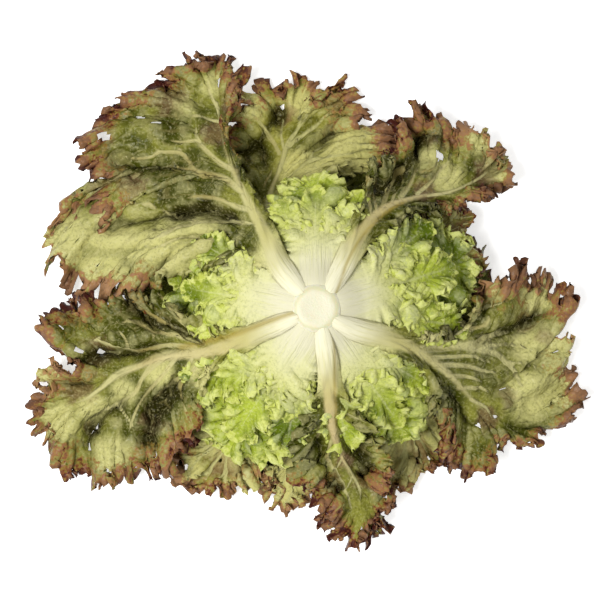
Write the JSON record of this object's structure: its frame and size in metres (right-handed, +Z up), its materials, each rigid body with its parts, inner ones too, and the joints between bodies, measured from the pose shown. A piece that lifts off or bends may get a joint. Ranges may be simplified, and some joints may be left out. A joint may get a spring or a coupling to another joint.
{
  "type": "head of lettuce",
  "caption": "Head of curly red-edged leaf lettuce lying face down with its cut stem on top, its frilly leaves arching down and out to the table",
  "frame": {"origin": "on the table, straight under the middle of the cut stem, at the centre of the small flat spot that the heart rests on", "axes": "+Z up, along the stem from the heart to the cut; -Y towards the narrow outer leaf with its tip nearest the viewer (outer_leaf_3); +X to the right as seen from above, towards outer_leaf_4"},
  "size_m": [0.3006, 0.267, 0.105],
  "materials": {
    "stem": "cut stem, moist cream flesh",
    "outer_leaf": "waxy mid-green leaf with pale veins and red-brown frilly edges",
    "second_leaf": "waxy green leaf, lime towards the stem, red-brown at the edge",
    "inner_leaf": "thin lime-green crinkled leaf, cream towards the stem",
    "deep_leaf": "dark green leaf in shade",
    "heart": "small pale lime leaves"
  },
  "bodies": {
    "root": {"stem": "stem", "outer_leaf_1": "outer_leaf", "outer_leaf_2": "outer_leaf", "outer_leaf_3": "outer_leaf", "outer_leaf_4": "outer_leaf", "outer_leaf_5": "outer_leaf", "second_leaf_1": "second_leaf", "second_leaf_2": "second_leaf", "second_leaf_3": "second_leaf", "second_leaf_4": "second_leaf", "second_leaf_5": "second_leaf", "inner_leaf_1": "inner_leaf", "inner_leaf_2": "inner_leaf", "inner_leaf_3": "inner_leaf", "inner_leaf_4": "inner_leaf", "inner_leaf_5": "inner_leaf", "deep_leaf_1": "deep_leaf", "deep_leaf_2": "deep_leaf", "deep_leaf_3": "deep_leaf", "deep_leaf_4": "deep_leaf", "deep_leaf_5": "deep_leaf", "heart": "heart"}
  },
  "joints": []
}
